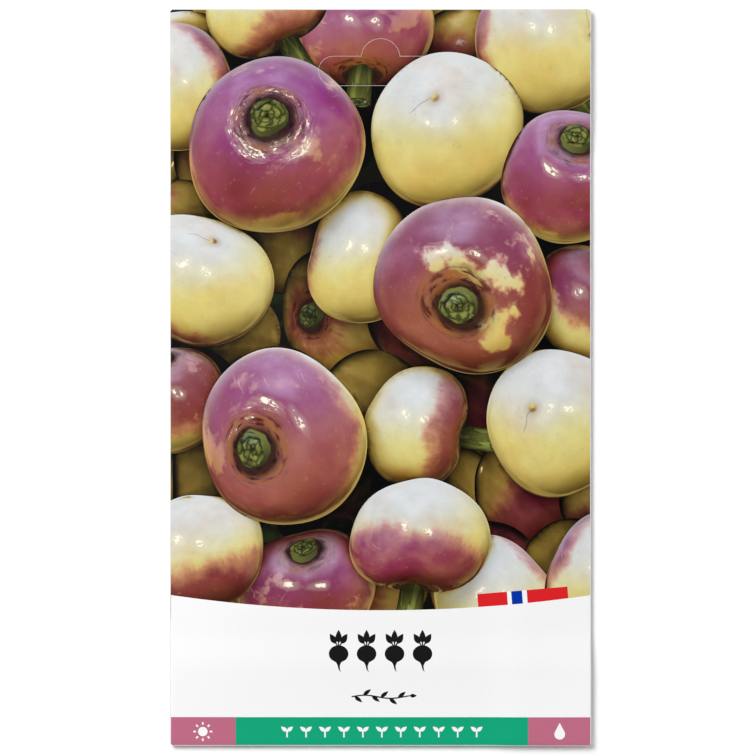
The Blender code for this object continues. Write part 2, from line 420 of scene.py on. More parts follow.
def leaf_stubs(sheet, colours, east, north, draw, lit_side):
    """The crown's cut leaf stalks: stubs in rings round its middle, each rounded by its shading."""
    far = far_out(east, north)
    warp = sheet.jitter(sheet.vector(east, north, draw), 8, 2)
    around = north.arctan(east) * 0.85
    flat = sheet.vector(around + draw * 4, far * 14, draw).plus(warp.scaled(1.5))
    values = {"Vector": flat, "Scale": 1.0, "Randomness": 0.9}
    cell = sheet.add("ShaderNodeTexVoronoi", {"voronoi_dimensions": "2D"}, values, "Color")
    settings = {"voronoi_dimensions": "2D", "feature": "DISTANCE_TO_EDGE"}
    seam = sheet.add("ShaderNodeTexVoronoi", settings, values)
    off_out = flat.minus(cell.other("Position")).parts()[1]
    dome = 0.70 + off_out * (lit_side + 0.35) * 0.9 - cell.other("Distance") * 0.4
    fresh = sheet.mix(cell.parts()[0], colours.leaf, linear(92, 98, 44))
    fresh = sheet.mix(sheet.noise(flat, 2.0, 3, 0.7).step(0.5, 0.72) * 0.5, fresh, linear(196, 190, 130))
    fresh = sheet.mix(lit_side.step(0.2, 1.0) * 0.4, fresh, linear(150, 178, 150))
    hollow = 1 - far.step(0.07, 0.0) * 0.85
    return fresh.scaled(dome.at_least(0.08) * (seam.step(0.0, 0.30) * 0.72 + 0.28) * hollow)


def turnip_skin(colours):
    """The printed turnips. Each corner knows its place on its turnip, how that is turned, and its light."""
    sheet = Sheet("printed turnips")
    mix, noise = sheet.mix, sheet.noise
    coat(sheet)
    across, up, _ = sheet.read("disk").parts()
    sky, sun, _ = sheet.read("light").parts()
    reach, patchy, draw = sheet.read("skin").parts()
    crown = sheet.read("crown")
    side = sheet.read("side")
    far_side = crown.cross(side)

    # Where the point lies on the turnip, from -1 to 1: towards the viewer, and from the root to the crown
    near = (1 - across * across - up * up).at_least(0.0).root()
    sky = sky / (0.50 + near * 0.50)
    ball = sheet.vector(across, up, near)
    height, east, north = ball.dot(crown), ball.dot(side), ball.dot(far_side)
    out = far_out(east, north).at_least(0.001)
    upper = height.step(-0.02, 0.02)
    lower = 1 - upper
    own = sheet.vector(east + draw * 3.1, north + draw * 5.3, height + draw * 1.7)
    spokes = sheet.vector(east / out * 2.6 + draw, north / out * 2.6, height * 0.9)
    rings = sheet.vector(east / out * 1.1 + draw, north / out * 1.1, out * 12)
    light_east, light_north = side.dot(tuple(HEAP_LIGHT)), far_side.dot(tuple(HEAP_LIGHT))
    lit_side = (east * light_east + north * light_north) / out

    # The skin's shape: dips round the crown and the root, ridges round the crown, lumps all over
    wobble = (noise(own, 2.2, 4, 0.6) - 0.5) * 0.2
    ring = (out + wobble).step(0.50, 0.36) * upper
    shoulder = (out + wobble).step(0.68, 0.46) * upper
    dip = (out + wobble).step(0.78, 0.26) * upper * 1.15 + out.step(0.46, 0.10) * lower * 0.7
    skin = ball.plus(ball.minus(crown.scaled(height)).scaled(dip * -0.9))
    skin = skin.plus(sheet.jitter(own, 1.4, 3, 0.45).scaled(0.46))
    skin = skin.plus(sheet.jitter(rings, 1.5, 3, 0.6).scaled(0.05 + ring * 1.2))
    skin = skin.normalized()
    facing = skin.dot(tuple(HEAP_UP))
    lifted = facing.step(0.12, 0.88) * sky.step(0.45, 0.80)

    # Its colour: cream, then rosy, then purple towards the crown, each turnip in a tone of its own
    tone = (draw * 1.618).fraction()
    rosy = (draw * 2.718).fraction()
    edge = (noise(own, 1.6, 5, 0.6) - 0.5) * 0.65 + (noise(spokes, 1.5, 5, 0.65) - 0.5) * 0.4
    blush = (height + edge - reach).step(-0.34, 0.32)
    spots = noise(own.plus((7.0, 3.0, 1.0)), 1.1, 5, 0.55)
    blush = blush * (1 - spots.step(0.56, 0.63) * patchy)
    pale = noise(own, 0.9, 3).step(0.35, 0.7)
    flecks = noise(own, 11.0, 3, 0.7)
    cream = mix(pale, colours.cream, linear(230, 222, 190))
    cream = mix(lifted * 0.8, cream, linear(228, 226, 208))
    cream = mix(flecks.step(0.62, 0.74) * 0.25, cream, linear(176, 132, 80))
    clouds = noise(own.plus((2.0, 9.0, 4.0)), 1.3, 4, 0.5)
    cream = mix(clouds.step(0.48, 0.72) * 0.3, cream, linear(220, 172, 108))
    purple = mix(tone, colours.purple, colours.maroon)
    purple = mix(clouds.step(0.48, 0.72) * 0.5, purple, linear(206, 140, 166))
    purple = mix(clouds.step(0.52, 0.28) * 0.8, purple, colours.maroon)
    tanned = ((out + wobble).step(0.95, 0.25) * 0.6 + 0.4) * rosy * 0.5 + pale * 0.25
    purple = mix(tanned, purple, linear(192, 126, 110))
    purple = mix(flecks.step(0.60, 0.72) * 0.2, purple, linear(226, 176, 176)).scaled(0.88)
    colour = mix(blush.step(0.0, 0.5), cream, linear(208, 152, 142))
    colour = mix(blush.step(0.25, 1.0), colour, purple)
    scars = noise(sheet.vector(east * 2.2 + north * 1.2, (north - east * 0.5) * 16, draw), 1.0, 3, 0.6)
    scars = scars.step(0.64, 0.70) * spots.step(0.48, 0.62)
    colour = mix(scars * 0.4, colour, linear(222, 190, 160))
    colour = colour.scaled(0.86 + noise(own, 4.5, 4, 0.6) * 0.28)
    bark = noise(rings, 1.5, 3, 0.5)
    ridges = mix(bark.step(0.38, 0.58), linear(84, 36, 30), colours.cork)
    colour = mix(ring * (0.55 + abs(bark - 0.5).step(0.02, 0.12) * 0.4), colour, ridges)

    # The light on it: golden below, cool above, and warm where its neighbours shade it, down to black
    glow = mix(facing.step(-0.75, 0.45), DEEP_GOLD, GOLD)
    glow = mix(lifted, glow, COOL)
    shade = (sun * 0.45 + 0.55) * (sky + lifted * 0.10).step(0.12, 0.86)
    lit = colour.times(glow).scaled(shade * (facing.step(-1.05, -0.05) * 0.85 + 0.15))
    hidden = sky.step(0.80, 0.30) * (1 - lifted * 0.8)
    warm = mix(blush, WARM_ON_CREAM, WARM_ON_PURPLE)
    lit = mix(hidden * 0.9, lit, lit.times(warm))

    # What the wet skin mirrors at its edges: the sky, and pale and dark neighbours
    skin_x, skin_y, skin_z = skin.parts()
    mirror_x, mirror_y = skin_x * skin_z * 2, skin_y * skin_z * 2
    around = noise(sheet.vector(mirror_x * 1.3 + draw * 7, mirror_y * 1.3, draw), 1.6, 2)
    mirrored = mix(around.step(0.42, 0.60), linear(70, 36, 18), linear(214, 184, 104))
    mirrored = mix(lifted, mirrored, linear(218, 222, 226)).scaled(sky.step(0.15, 0.75))
    lit = mix(near.step(0.60, 0.05) * 0.42, lit, mirrored)

    # The crown: a dark moat, deepest on the side away from the light
    moat = (out + wobble * 0.7 + lit_side * 0.05).step(0.365, 0.25) * upper
    lit = mix(moat * 0.9, lit, linear(26, 10, 10))

    # The root: a nub with a dark foot, and a thin dark hair
    nub = (out + wobble * 0.3).step(0.075, 0.04) * lower
    foot = out.step(0.18, 0.05) * (0.6 - lit_side * 0.4) * lower * 0.5
    lit = mix(foot, lit, linear(132, 100, 52))
    lit = mix(nub, lit, mix(lit_side.step(-0.6, 0.6), linear(120, 90, 44), linear(214, 190, 124)))
    bend = north + (noise(sheet.vector(east * 3, draw), 1.0, 2) - 0.5) * 0.3
    hair = abs(bend).step(0.012, 0.003) * east.step(0.02, 0.06) * east.step(0.42, 0.3) * lower
    lit = mix(hair * 0.45, lit, linear(80, 72, 70))

    # Wet highlights: the sky as a broad soft bar, lamps as clusters of small glints with a faint halo
    bar = mirror_y.step(0.55, 0.95) * abs(mirror_x + 0.12).step(0.65, 0.1) * sky.step(0.5, 0.9)
    bar = bar * (noise(own, 2.6, 3).step(0.3, 0.65) * 0.6 + 0.4) * (1 - moat)
    lit = lit.plus(sheet.vector(*SKY_GLARE).scaled(bar * (0.22 + blush * 0.30)))
    specks = noise(own, 15.0, 2, 0.6).step(0.44, 0.54)
    rough = skin.plus(sheet.jitter(own, 6.0, 2).scaled(0.10))
    rough = rough.plus(sheet.jitter(rings, 4.0, 3, 0.65).scaled(shoulder * 0.46)).normalized()
    for lamp, strength in LAMPS:
        half = (Vector(lamp).normalized() + Vector((0, 0, 1))).normalized()
        aim = rough.dot(tuple(half))
        glint = aim.step(0.9965, 0.9992) * specks + aim.step(0.982, 0.9992) * 0.16
        lit = mix(glint * sun * sky.step(0.3, 0.7) * (1 - moat) * strength, lit, linear(255, 246, 222))

    # The stub of cut stalks stands over the moat, so it is drawn in slices up to its top
    tilt = crown.parts()[2].at_least(0.3)
    slant = (1 - tilt * tilt).at_least(0.0).root()
    flat = sheet.vector(across, up)
    stub_east, flat_north = flat.dot(side), flat.dot(far_side) / tilt
    frayed = (noise(own, 3.4, 3) - 0.5) * 0.15
    standing = tilt.step(0.60, 0.65) * upper
    for rise, wide in STUB_SLICES:
        stub_north = (flat_north - slant * rise) / tilt
        far = far_out(stub_east, stub_north).at_least(0.001)
        slice_mask = (far + frayed).step(wide, wide - 0.02) * standing
        turned = (stub_east * light_east + stub_north * light_north) / far
        if rise < STUB_SLICES[-1][0]:
            top = mix(turned.step(-1.0, 0.9), linear(34, 36, 14), linear(112, 116, 60))
        else:
            top = leaf_stubs(sheet, colours, stub_east, stub_north, draw, turned).scaled(1.2)
        lit = mix(slice_mask, lit, top.scaled(shade))
    sheet.set(Base_Color=lit)
    return sheet.material


def cut_stalk(colours):
    """The printed stalk ends that stand out of a turnip seen from the side."""
    sheet = Sheet("printed stalks")
    coat(sheet)
    across, along, _ = sheet.read("disk").parts()
    sky, sun, _ = sheet.read("light").parts()
    draw = sheet.read("skin").parts()[2]
    sheath = sheet.noise(sheet.vector(across * 1.5 + draw * 9, along * 0.6, draw), 1.3, 3, 0.55)
    colour = sheet.mix(sheath.step(0.35, 0.65), linear(104, 106, 46), colours.leaf)
    rounded = (1 - across * across * 0.7) * (abs(sheath - 0.5).step(0.0, 0.06) * 0.55 + 0.45)
    colour = colour.scaled(rounded * (0.12 + along.step(-0.6, 0.5) * 0.88))
    cut_across, cut_along = across * 0.19, (along - STALK_CUT) * 1.1
    cut = far_out(cut_across, cut_along)
    top = leaf_stubs(sheet, colours, cut_across, cut_along, draw, across * -0.6 + 0.3)
    colour = sheet.mix(cut.step(0.175, 0.160), colour, top)
    sheet.set(Base_Color=colour.scaled(0.35 + sun * 0.4 + sky * 0.3))
    return sheet.material


def dried_glue():
    sheet = Sheet("dried glue")
    clouds = sheet.noise(sheet.object_place(), 260.0, 3)
    sheet.set(Base_Color=sheet.mix(clouds.step(0.3, 0.7), linear(226, 221, 205), linear(240, 238, 228)))
    sheet.set(Roughness=0.3 + clouds * 0.2, Normal=sheet.bump(0.3, 0.05 * MM, clouds))
    return sheet.material


def seed_coat():
    sheet = Sheet("seed coat")
    place = sheet.object_place()
    tint = sheet.noise(place, 700.0, 2)
    settings = {"feature": "DISTANCE_TO_EDGE"}
    net = sheet.add("ShaderNodeTexVoronoi", settings, {"Vector": place, "Scale": 6000.0})
    sheet.set(Base_Color=sheet.mix(tint.step(0.3, 0.7), linear(70, 34, 26), linear(112, 64, 44)))
    sheet.set(Roughness=0.5 + tint * 0.2, Normal=sheet.bump(0.4, 0.03 * MM, net.step(0.0, 0.12)))
    return sheet.material


# Outlines on the blank, in millimetres, seen from the printed side


def evenly(start, end, count):
    return [start + (end - start) * i / count for i in range(count + 1)]


def arc(x, y, radius, start, end, steps=10, tall=1.0):
    """Points of an arc, in degrees from +X towards +Y, its ends among them."""
    turns = [math.radians(turn) for turn in evenly(start, end, steps)]
    return [(x + radius * math.cos(t), y + radius * tall * math.sin(t)) for t in turns]


def disc(x, y, radius, steps=20, tall=1.0):
    return arc(x, y, radius, 0, 360, steps, tall)[:-1]


def box(left, bottom, right, top):
    return [(left, bottom), (right, bottom), (right, top), (left, top)]


def heading(turn):
    """The way that lies this many degrees from +X towards +Y."""
    return Vector((math.cos(math.radians(turn)), math.sin(math.radians(turn))))


def ribbon(points, wide):
    """The outline of a line this wide through the points."""
    sides = []
    for i, (x, y) in enumerate(points):
        before, after = points[max(i - 1, 0)], points[min(i + 1, len(points) - 1)]
        run = Vector((after[0] - before[0], after[1] - before[1])).normalized() * wide / 2
        sides.append(((x - run.y, y + run.x), (x + run.y, y - run.x)))
    return [left for left, _ in sides] + [right for _, right in reversed(sides)]


def leaf(x, y, length, wide, turn, steps=6):
    """A pointed leaf from (x, y), this many degrees from +X."""
    ahead = heading(turn)
    aside = Vector((-ahead.y, ahead.x))
    upper, lower = [], []
    for share in evenly(0, 1, steps):
        rib = Vector((x, y)) + ahead * length * share
        bulge = aside * wide / 2 * math.sin(math.pi * share**0.8)
        upper.append(tuple(rib + bulge))
        lower.append(tuple(rib - bulge))
    return upper + lower[-2:0:-1]


def clipped(outline, left, bottom, right, top):
    """The part of a closed outline inside a box."""
    for axis, limit, sign in ((0, left, 1), (0, right, -1), (1, bottom, 1), (1, top, -1)):
        kept = []
        for a, b in zip(outline, outline[1:] + outline[:1]):
            inside_a, inside_b = (sign * (p[axis] - limit) >= 0 for p in (a, b))
            if inside_a:
                kept.append(a)
            if inside_a != inside_b:
                share = (limit - a[axis]) / (b[axis] - a[axis])
                kept.append((a[0] + (b[0] - a[0]) * share, a[1] + (b[1] - a[1]) * share))
        outline = kept
        if not outline:
            break
    return outline


def slot_outline(grow=0.0):
    """The hang slot's closed outline, grown or shrunk, from its lower edge's middle round by the right."""
    end_radius = SLOT_DEPTH / 2
    end_centre = SLOT_WIDTH / 2 - end_radius
    middle = SLOT_BOTTOM + end_radius
    radius = ARCH_RADIUS + grow
    foot = math.degrees(math.asin((ARCH_SINK + grow) / radius))
    return [
        (0.0, SLOT_BOTTOM - grow),
        *arc(end_centre, middle, end_radius + grow, -90, 90),
        *arc(0.0, SLOT_BOTTOM + SLOT_DEPTH - ARCH_SINK, radius, foot, 180 - foot, 14),
        *arc(-end_centre, middle, end_radius + grow, 90, 270),
    ]


def slits():
    """The slot's outline between its nicks, which keep the tab in the sheet."""
    outline = [Vector(p) for p in slot_outline()]
    outline.append(outline[0])
    ends = [0.0]
    for a, b in zip(outline, outline[1:]):
        ends.append(ends[-1] + (b - a).length)
    around = ends[-1]

    def at(run):
        run %= around
        i = max(k for k in range(len(outline) - 1) if ends[k] <= run)
        return tuple(outline[i].lerp(outline[i + 1], (run - ends[i]) / (ends[i + 1] - ends[i])))

    found = []
    for here, after in zip(NICKS, (*NICKS[1:], 1 + NICKS[0])):
        start = here * around + NICK / 2
        end = after * around - NICK / 2
        between = [run + turn for turn in (0, around) for run in ends[:-1] if start < run + turn < end]
        found.append([at(run) for run in (start, *between, end)])
    return found


def on_back(points):
    """Points on the front, as they lie on the back panel under them."""
    return [(BACK_RIGHT - (x + HALF_WIDTH), y) for x, y in points]


def on_top_flap(points):
    """Points on the front, as they lie on the top flap under them."""
    return [(x, 2 * HALF_HEIGHT + END_FOLD - y) for x, y in points]


def blank_outline():
    """The whole blank: front, back and tab beside it, and both flaps. The folds run nearly to the corners."""
    wide = HALF_WIDTH - FOLD_SHORT
    tall = HALF_HEIGHT - FOLD_SHORT
    flap_edge = [
        (FLAP_HALF_WIDTH, END_FOLD),
        (wide, END_FOLD / 2),
        (wide, 0.0),
        (HALF_WIDTH, 0.0),
    ]
    corner = [
        (HALF_WIDTH, tall),
        (HALF_WIDTH + SIDE_FOLD / 2, tall),
        (HALF_WIDTH + SIDE_FOLD, INNER_HALF_HEIGHT),
        (TAB_RIGHT, INNER_HALF_HEIGHT),
    ]
    free = FLAP_HALF_WIDTH * (1 - FLAP_TAPER / (WIDTH / 2))
    top = [(free, FLAP_TOP), *((x, HALF_HEIGHT + y) for x, y in flap_edge), *corner]
    bottom = [(x, FLAP_BOTTOM if y == FLAP_TOP else -y) for x, y in reversed(top)]
    right_half = top + bottom
    left_half = [(BACK_LEFT if x == TAB_RIGHT else -x, y) for x, y in reversed(right_half)]
    return right_half + left_half


def creases():
    """Lines that the blank is folded along, and the steps between them."""
    lines = []
    wide = HALF_WIDTH - FOLD_SHORT
    tall = HALF_HEIGHT - FOLD_SHORT
    for step in range(FOLD_STEPS + 1):
        share = step / FOLD_STEPS
        for x in (HALF_WIDTH + share * SIDE_FOLD, -HALF_WIDTH - share * SIDE_FOLD):
            lines.append([(x, y) for y in evenly(-tall, tall, round(HEIGHT / LINE_PITCH))])
        for y in (HALF_HEIGHT + share * END_FOLD, -HALF_HEIGHT - share * END_FOLD):
            lines.append([(x, y) for x in evenly(-wide, wide, round(WIDTH / LINE_PITCH))])
    return lines


# The printed heap


class Body:
    """A turnip as the print shows it: a flattened ball, leaning, a little uneven."""

    def __init__(self, turnip, seed):
        draw = random.Random(seed)
        self.turnip = turnip
        self.middle = (turnip.x, turnip.y)
        self.radius = turnip.radius
        self.seed = draw.uniform(0, 10)
        self.waves = [
            (number, size * draw.uniform(0.4, 1), draw.uniform(0, math.tau)) for number, size in HEAP_WAVES
        ]
        lean = math.radians(turnip.lean)
        way = math.radians(turnip.way)
        self.along = np.array((math.cos(way), math.sin(way)))
        self.aside = np.array((math.sin(way), -math.cos(way)))
        self.sideways = math.cos(lean) ** 4
        self.short = math.hypot(HEAP_FLATNESS * math.cos(lean), math.sin(lean))
        self.thick = self.radius * math.hypot(HEAP_FLATNESS * math.sin(lean), math.cos(lean))
        flat = HEAP_FLATNESS * math.cos(lean) / self.short
        self.crown = np.array((*(self.along * flat), math.sin(lean) / self.short))
        self.side = np.array((*self.aside, 0.0))

    def uneven(self, turn):
        """How far out the outline runs each way, the crown at 90 degrees. From the side it has shoulders."""
        waves = sum(size * np.sin(number * turn + start) for number, size, start in self.waves)
        from_crown = np.abs((turn + math.pi / 2) % math.tau - math.pi)
        dip = np.exp(-((from_crown / 0.35) ** 2)) * 0.06
        root = np.exp(-(((math.pi - from_crown) / 0.25) ** 2)) * 0.05
        return 1 + waves + self.sideways * (root - dip - 0.022 * np.cos(4 * turn))

    def outline(self, gap=0.0):
        """The turnip's outline in the picture, or a line this far outside it."""
        count = round(math.tau * self.radius / LINE_PITCH)
        turns = np.linspace(0, math.tau, count, endpoint=False)
        reach = self.radius * self.uneven(turns) + gap
        across = np.outer(reach * np.cos(turns), self.aside)
        up = np.outer(reach * np.sin(turns) * self.short, self.along)
        return [tuple(place) for place in (across + up + self.middle).tolist()]

    def disk(self, places):
        """Where places lie on the turnip's disk, from -1 to 1 across and up."""
        off = (places - self.middle) / self.radius
        a, b = off @ self.aside, off @ self.along / self.short
        grown = self.uneven(np.arctan2(b, a))
        return np.outer(a / grown, self.aside) + np.outer(b / grown, self.along)

    def height(self, disk):
        return self.turnip.depth + self.thick * np.sqrt(np.maximum(1 - (disk**2).sum(1), 0))

    def stalk(self):
        """The outline of its cut stalk, where it stands out at the crown, and its base, way and length."""
        base = np.array(self.middle) + self.crown[:2] * self.radius * 0.93
        length = self.radius * 0.42
        wide = self.radius * 0.17
        places = []
        for turn in evenly(0, math.tau, 36)[:-1]:
            lump = 1.08 + 0.08 * math.sin(3 * turn + self.seed) + 0.04 * math.sin(7 * turn + self.seed)
            end, depth = (STALK_CUT, 0.16) if turn < math.pi else (-0.35, 0.22)
            places.append((math.cos(turn) * lump, end + depth * math.sin(turn) * lump))
        outline = [base + self.aside * wide * a + self.along * length * b for a, b in places]
        return [tuple(place.tolist()) for place in outline], base, length, wide


def back_row(draw):
    """Turnips low in the heap, in staggered rows, a little off their places."""
    step, top, depth, off = 19.0, 76, -21, 2
    found = []
    for row in range(8):
        for column in range(6):
            x = (column - 2.5 + row % 2 / 2) * step + draw.uniform(-off, off)
            y = top - row * step * 0.86 + draw.uniform(-off, off)
            purple = draw.choice((-0.6, -0.2, 0.9))
            radius, way, lean = draw.uniform(11, 12.5), draw.uniform(0, 360), draw.uniform(-50, 60)
            found.append(Turnip(x, y, radius, way, lean, purple, 0, depth))
    return found


def heap(draw):
    """The heap from back to front. Way is where the crown points, in degrees from +X. Lean is how far it
    turns towards the viewer: 90 shows the crown, -90 the root. Purple is how low the purple reaches."""
    middle = [
        Turnip(-38.5, 55, 12.5, 20, -35, 0.15, 0.0, -8),
        Turnip(-3, 66, 13, 265, 30, -0.05, 0.4, -8),
        Turnip(31, 64, 14.5, 190, -40, 0.25, 0.0, -8),
        Turnip(-4, 22.5, 12.5, 170, -15, 0.75, 0.0, -9),
        Turnip(40, 14, 12.5, 60, 25, 0.10, 0.5, -8),
        Turnip(-41, -4, 12, 100, 30, -0.1, 0.5, -8),
        Turnip(7, -9.5, 12, 350, 5, 0.45, 0.0, -9),
        Turnip(-14, -40, 13, 95, 42, -0.15, 0.6, -8),
        Turnip(22, -43, 13.5, 40, -30, 0.55, 0.0, -8),
        Turnip(42, -38, 12.5, 150, -30, 0.35, 0.0, -8),
        Turnip(-22, 71, 12, 300, 15, 0.65, 0.0, -9),
    ]
    front = [
        Turnip(12.5, 47, 15, 290, -58, 0.30, 0.0, -2),
        Turnip(-34.5, 18.5, 14, 250, -42, 0.22, 0.0, -3),
        Turnip(36, 38, 13.5, 80, 48, -0.15, 0.8, -2),
        Turnip(-20, 44, 17, 105, 66, 0.12, 0.6, 0),
        Turnip(33.5, -8.5, 14, 330, -62, 0.60, 0.0, -1),
        Turnip(16, 17.5, 17, 250, 72, 0.05, 0.9, 1),
        Turnip(-35, -33.5, 13.5, 280, -12, 0.10, 0.0, -1),
        Turnip(-18.5, -11.5, 16.5, 200, 63, 0.14, 0.5, 2),
        Turnip(7.5, -30.5, 13.5, 262, 12, 0.22, 0.3, 1),
    ]
    return back_row(draw) + middle + front


def ramp(value, start, end):
    """0 up to the start, 1 from the end on, and smooth between."""
    share = np.clip((value - start) / (end - start), 0, 1)
    return share * share * (3 - 2 * share)


def height_map(bodies, bounds):
    """The heap as a field of heights, each body over those before it."""
    left, bottom, right, top = bounds
    x = np.arange(left, right, HEIGHT_PITCH)
    y = np.arange(bottom, top, HEIGHT_PITCH)
    places = np.stack(np.meshgrid(x, y), -1).reshape(-1, 2)
    field = np.full(len(places), float(GAP_DEPTH))
    for body in bodies:
        disk = body.disk(places)
        inside = (disk**2).sum(1) < 1
        field[inside] = body.height(disk[inside])
    return field.reshape(len(y), len(x))


def looked_up(field, bounds, x, y):
    """The field's heights at places between its points."""
    column = np.clip((x - bounds[0]) / HEIGHT_PITCH, 0, field.shape[1] - 1.001)
    row = np.clip((y - bounds[1]) / HEIGHT_PITCH, 0, field.shape[0] - 1.001)
    i, j = column.astype(int), row.astype(int)
    a, b = column - i, row - j
    low = field[j, i] * (1 - a) + field[j, i + 1] * a
    high = field[j + 1, i] * (1 - a) + field[j + 1, i + 1] * a
    return low * (1 - b) + high * b


def daylight(field, bounds, places, heights):
    """(share of the sky, share of the key light) that reaches each place in the heap."""
    slopes = []
    for look in range(LOOKS):
        turn = math.tau * look / LOOKS
        steepest = np.zeros(len(places))
        for distance in LOOK_DISTANCES:
            x = places[:, 0] + distance * math.cos(turn)
            y = places[:, 1] + distance * math.sin(turn)
            steepest = np.maximum(steepest, (looked_up(field, bounds, x, y) - heights) / distance)
        slopes.append(steepest)
    slopes = np.array(slopes)
    sky = 1 - (slopes**2 / (1 + slopes**2)).mean(0)
    light_turn = math.atan2(HEAP_LIGHT.y, HEAP_LIGHT.x)
    light_slope = HEAP_LIGHT.z / math.hypot(HEAP_LIGHT.x, HEAP_LIGHT.y)
    middle = round(light_turn / math.tau * LOOKS)
    near = np.array([slopes[(middle + k) % LOOKS] for k in (-1, 0, 1)])
    return sky, ramp((light_slope - near) / HEAP_PENUMBRA + 0.5, 0, 1).mean(0)


# The print


def sprout(x, y, size):
    """A seedling: a stem and two seed leaves."""
    stem = ribbon([(x, y), (x, y + size * 0.62)], size * 0.13)
    return [stem, *(leaf(x, y + size * 0.52, size * 0.66, size * 0.34, turn) for turn in (38, 142))]


def sun(x, y, size):
    rays = []
    for turn in range(0, 360, 45):
        ends = [tuple(Vector((x, y)) + heading(turn) * size * reach) for reach in (0.36, 0.5)]
        rays.append(ribbon(ends, size * 0.09))
    return [disc(x, y, size * 0.25), *rays]


def drop(x, y, size):
    """A water drop with its point up."""
    round_part = arc(x, y - size * 0.14, size * 0.3, -215, 35, 16)
    return [[*round_part, (x, y + size * 0.5)]]


def turnip_figure(x, y, size):
    """A small turnip: a flattened round root with a thin bent tail, and three leaves on stalks."""
    tail = ((0.10, -0.33), (0.045, -0.46), (0.05, -0.60), (0.09, -0.72))
    tail += ((-0.005, -0.60), (-0.035, -0.46), (-0.10, -0.33))
    root = arc(x, y, size * 0.38, 225, -45, 20, 0.88)
    shapes = [root + [(x + size * a, y + size * b) for a, b in tail]]
    for turn, length in ((90, 0.52), (58, 0.46), (122, 0.46)):
        way = heading(turn)
        foot = Vector((x, y + size * 0.24))
        blade = foot + way * size * 0.18
        shapes.append(ribbon([tuple(foot), tuple(blade + way * size * 0.05)], size * 0.05))
        shapes.append(leaf(*blade, size * length, size * 0.24, turn, 12))
    return shapes


def sowing_guide(y, space):
    """A row of seedlings on a soil line, with a seed under each, and arrows for the spaces between them."""
    shapes = [ribbon([(-space * 1.6, y), (space * 1.6, y)], 0.3)]
    for x in (-space, 0, space):
        shapes += [*sprout(x, y, 7), disc(x, y - 1.8, 0.55, 12)]
    low = y - 4.5
    for x in (-space / 2, space / 2):
        shapes.append(ribbon([(x - 4.9, low), (x + 4.9, low)], 0.25))
        shapes += [[(x + a * 6, low), (x + a * 4.7, low + 0.6), (x + a * 4.7, low - 0.6)] for a in (-1, 1)]
    return shapes


def twig(x, y, length):
    """A thin stem on its side, with leaves on both sides of it."""
    stem = [(x + length * (share - 0.5), y + 0.3 * math.sin(share * 7)) for share in evenly(0, 1, 20)]
    leaves = [leaf(px, py, 1.9, 0.75, 38 if i % 2 else -38) for i, (px, py) in enumerate(stem[1:-2:3])]
    return [ribbon(stem, 0.25), *leaves, leaf(*stem[-1], 1.4, 0.7, 0)]


def inked(outlines, ink):
    """Each outline as a shape of its own, in this ink."""
    return [Shape([outline], ink) for outline in outlines]


def moved(shapes, change):
    """The shapes with this change made to each of their outlines."""
    return [Shape([change(loop) for loop in shape.loops], shape.ink) for shape in shapes]


def picture(bodies):
    """The heap's shapes, back to front, cut to the picture."""
    edges = (-HALF_WIDTH - LEFT_CRACK, PICTURE_LOW, HALF_WIDTH + CRACK, HALF_HEIGHT + CRACK)
    shapes = inked([box(*edges)], "gap")
    for body in bodies:
        shapes.append(Shape([body.outline()], ("skin", body)))
        if 0 <= body.turnip.lean < STALK_LEAN:
            shapes.append(Shape([body.stalk()[0]], ("stalk", body)))
    return [shape for shape in moved(shapes, lambda loop: clipped(loop, *edges)) if shape.loops[0]]


def label_edge(proof, x):
    """Height of the label's curved upper edge."""
    side = proof.label_side - HEIGHT / 2
    sag = proof.label_side - proof.label_middle
    return side - sag * (1 - (x / (WIDTH / 2)) ** 2)


def strip(proof):
    """The small striped strip that stands up behind the label's edge."""
    start = STRIP_EDGES[0]
    foot = Vector((start, -HEIGHT / 2 + proof.label_side + STRIP_TOP - STRIP_HEIGHT))
    ahead = heading(STRIP_TURN)
    aside = Vector((-ahead.y, ahead.x)) * STRIP_HEIGHT
    shapes = []
    for ink, *edges in zip(STRIP_INKS, STRIP_EDGES, STRIP_EDGES[1:]):
        left, right = (foot + ahead * (edge - start) for edge in edges)
        shapes += inked([[tuple(p) for p in (left, right, right + aside, left + aside)]], ink)
    return shapes


def block_edges(proof):
    """Where the middle block of the band begins and ends."""
    return -WIDTH / 2 + proof.left_block, WIDTH / 2 - proof.right_block


def band(proof, reach, low, high):
    """The coloured band in its three blocks, between two heights and out to this far at the sides."""
    edges = (-reach, *block_edges(proof), reach)
    shapes = []
    for ink, left, right in zip(("rose", "green", "rose"), edges, edges[1:]):
        shapes += inked([box(left, low, right, high)], ink)
    return shapes


def label_marks(proof):
    """The white marks on the band, and the black figures on the label."""
    left, right = block_edges(proof)
    middle = -HEIGHT / 2 + proof.band / 2
    marks = sun((left - WIDTH / 2) / 2, middle, SUN_SIZE) + drop((right + WIDTH / 2) / 2, middle, DROP_SIZE)
    for number in range(SPROUTS):
        x = (left + right) / 2 + (number - SPROUTS // 2) * SPROUT_STEP
        marks += sprout(x, middle - SPROUT_SIZE / 2, SPROUT_SIZE)
    figures = []
    for number in range(FIGURES):
        figures += turnip_figure((number - (FIGURES - 1) / 2) * FIGURE_STEP, FIGURE_HEIGHT, FIGURE_SIZE)
    return inked(marks, "white") + inked(figures + twig(0.0, TWIG_HEIGHT, TWIG_LENGTH), "black")


